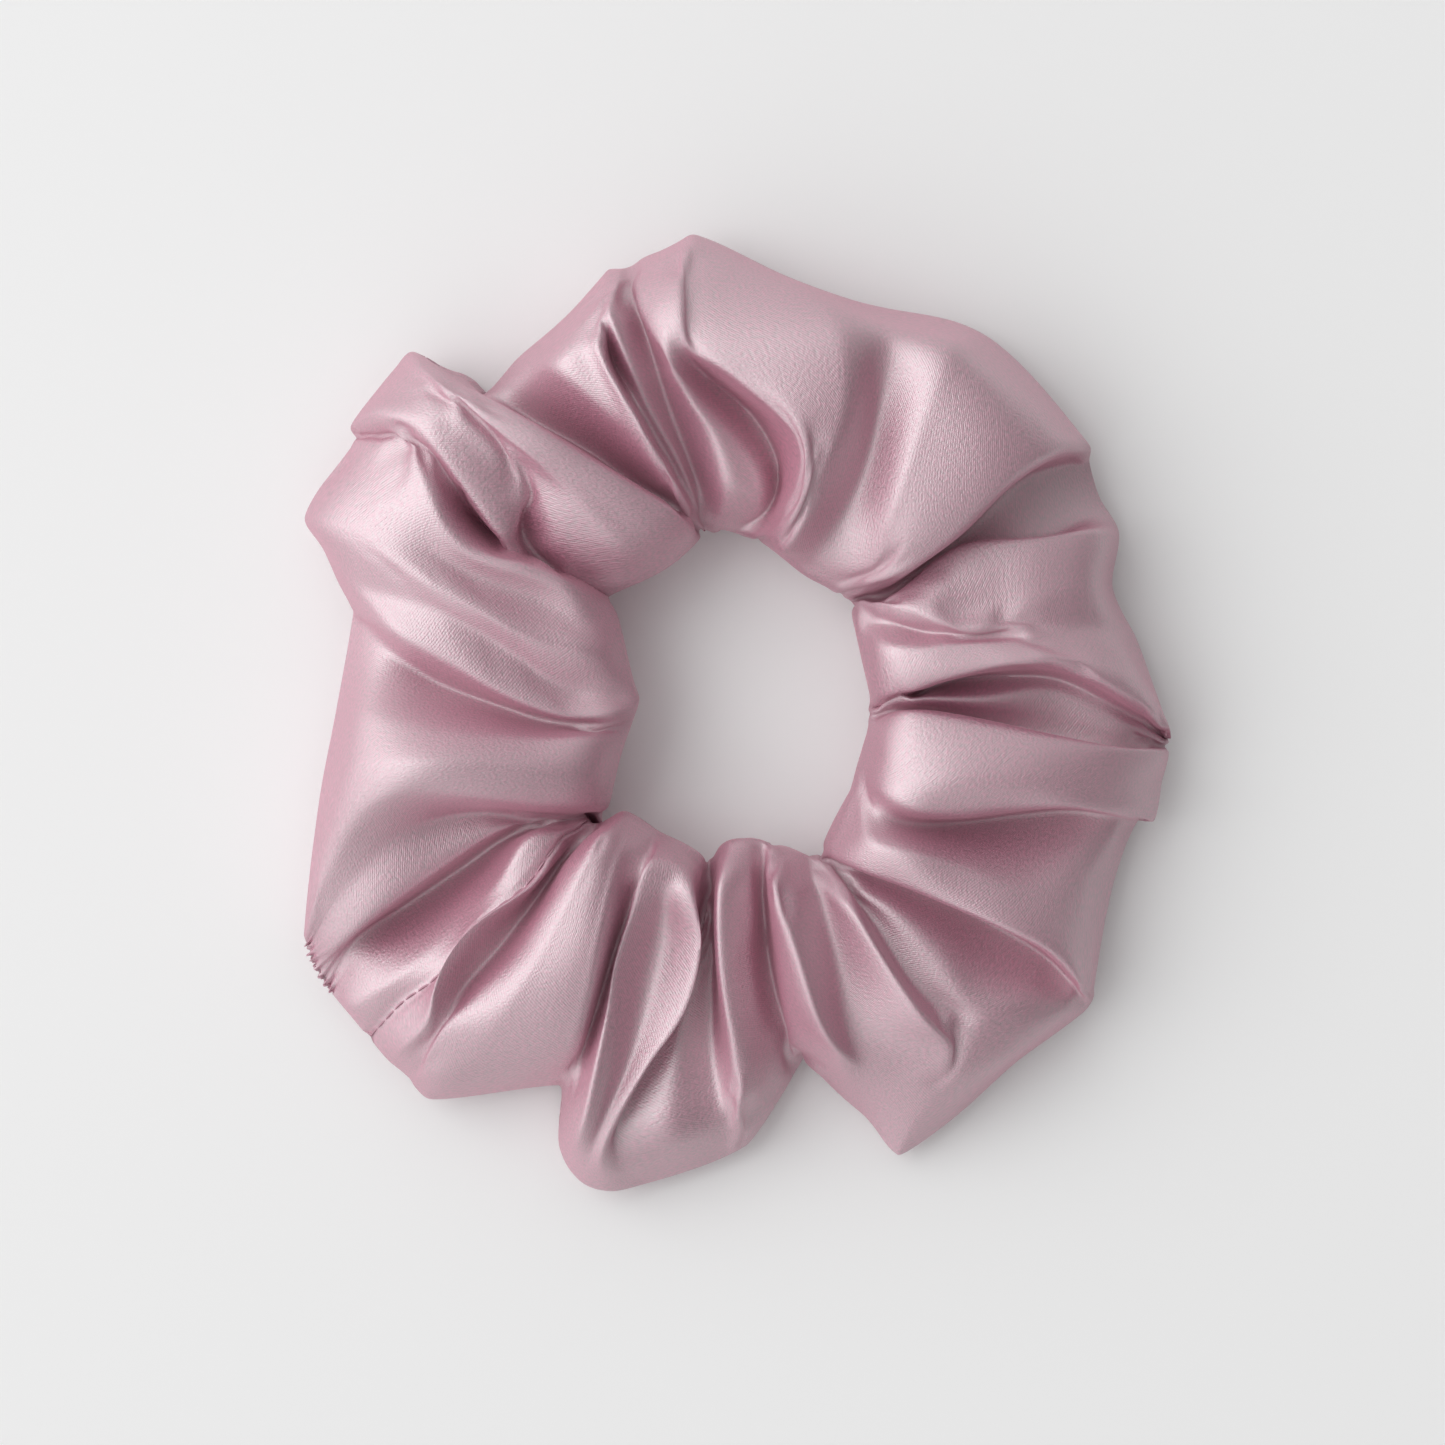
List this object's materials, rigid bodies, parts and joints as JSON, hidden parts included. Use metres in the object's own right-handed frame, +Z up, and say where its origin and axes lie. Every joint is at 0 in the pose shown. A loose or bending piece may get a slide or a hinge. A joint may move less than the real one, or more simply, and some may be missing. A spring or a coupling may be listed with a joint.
{
  "type": "scrunchie",
  "caption": "Hair tie of satin cloth sewn into a tube and gathered on a hidden loop of flat elastic; worn round a ponytail, wrist or bun.",
  "frame": {"origin": "under the middle of the outline, on the surface that the scrunchie lies on", "axes": "+Z up, out of the flat-lying ring; +Y towards the widest lobe at the top of the ring, along its longer diameter; +X to the right when seen from above"},
  "size_m": [0.1164, 0.1286, 0.0278],
  "materials": {
    "satin": "dusty rose satin weave",
    "elastic": "white braided elastic",
    "thread": "spun polyester"
  },
  "bodies": {
    "root": {"satin_cover": "satin", "elastic_band": "elastic", "long_seam_needle_thread": "thread", "long_seam_bobbin_thread": "thread", "cross_seam_needle_thread": "thread", "cross_seam_bobbin_thread": "thread", "closing_seam_thread": "thread", "elastic_join_needle_thread": "thread", "elastic_join_bobbin_thread": "thread"}
  },
  "joints": []
}
